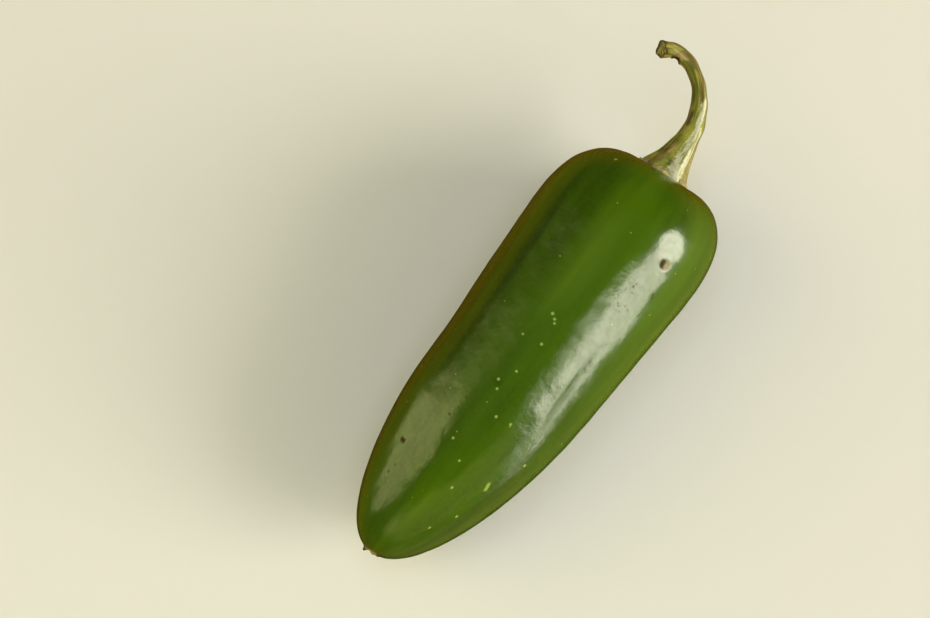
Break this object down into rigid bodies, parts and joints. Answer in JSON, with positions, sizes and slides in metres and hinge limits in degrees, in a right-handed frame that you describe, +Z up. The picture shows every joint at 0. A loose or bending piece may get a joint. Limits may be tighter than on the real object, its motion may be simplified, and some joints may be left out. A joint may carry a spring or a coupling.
{
  "type": "chilli pepper",
  "caption": "Green chilli pepper lying on its side: a blunt, tapered pod with a small calyx and a ribbed stem that curls to one side. Food prop.",
  "frame": {"origin": "on the resting surface, under the middle of the whole pepper's bounding box", "axes": "+Y along the pod from its tip towards its stem, +Z up, +X to the right as seen from above with the stem pointing away"},
  "size_m": [0.0352, 0.1108, 0.0333],
  "materials": {
    "pod_skin": "gloss",
    "calyx_tissue": "matte",
    "stem_tissue": "satin"
  },
  "bodies": {
    "root": {"pod": "pod_skin", "calyx": "calyx_tissue", "stem": "stem_tissue"}
  },
  "joints": []
}
